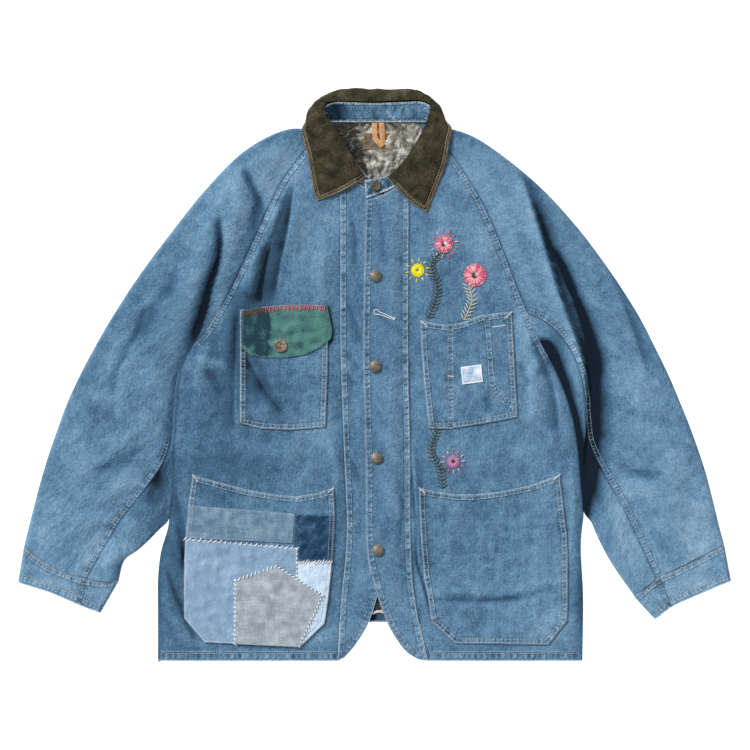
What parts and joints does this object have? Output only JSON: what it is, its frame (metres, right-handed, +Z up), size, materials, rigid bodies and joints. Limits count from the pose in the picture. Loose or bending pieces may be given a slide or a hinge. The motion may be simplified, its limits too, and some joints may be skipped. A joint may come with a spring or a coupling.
{
  "type": "patched denim work jacket, laid flat",
  "caption": "Washed denim chore coat with raglan sleeves, corduroy collar, patch pockets, a contrast flap, sewn-on patches and dome buttons, lying flat on its back, front side up",
  "frame": {"origin": "centre of the bounding box at the height of the surface that the jacket lies on", "axes": "+X towards the wearer's left sleeve, across the jacket; +Y towards the collar; +Z up, out of the front"},
  "size_m": [0.981, 0.7861, 0.0195],
  "materials": {
    "denim": "washed mid-blue cotton denim twill, felled seams with off-white thread, faded and abraded edges",
    "lining": "silver-grey crinkled satin lining",
    "corduroy": "dark olive-brown fine-wale corduroy with tan double topstitching",
    "label": "bare woven patch in the lining's colour, held by running stitches",
    "leather": "tan leather tape, dry and grained",
    "flap": "teal-green cotton canvas",
    "tag": "bare white woven tape, frayed by washing",
    "patch_grey": "faded grey-blue plain-weave cotton",
    "patch_indigo": "dark indigo denim, little washed",
    "patch_light": "light-blue washed denim",
    "patch_pale": "bleached pale-blue denim",
    "brass": "domed tack button in dark antique brass",
    "shell_button": "polished four-hole button, mottled horn or shell colour"
  },
  "bodies": {
    "root": {"back": "denim", "back_lining": "lining", "front_right": "denim", "front_left": "denim", "band_right": "denim", "band_left": "denim", "sleeve_right_top": "denim", "sleeve_right_under": "denim", "sleeve_left_top": "denim", "sleeve_left_under": "denim", "cuff_right": "denim", "cuff_left": "denim", "collar_stand": "denim", "collar": "corduroy", "neck_label": "label", "hanger_loop": "leather", "pocket_chest_right": "denim", "flap_chest_right": "flap", "pocket_chest_left": "denim", "woven_tag": "tag", "pocket_lower_right": "denim", "pocket_lower_left": "denim", "patch_grey_blue": "patch_grey", "patch_indigo": "patch_indigo", "patch_light_blue": "patch_light", "patch_pale": "patch_pale", "patch_pentagon": "patch_grey", "button_1": "brass", "button_2": "brass", "button_3": "brass", "button_4": "brass", "button_5": "brass", "flap_button": "shell_button"}
  },
  "joints": []
}
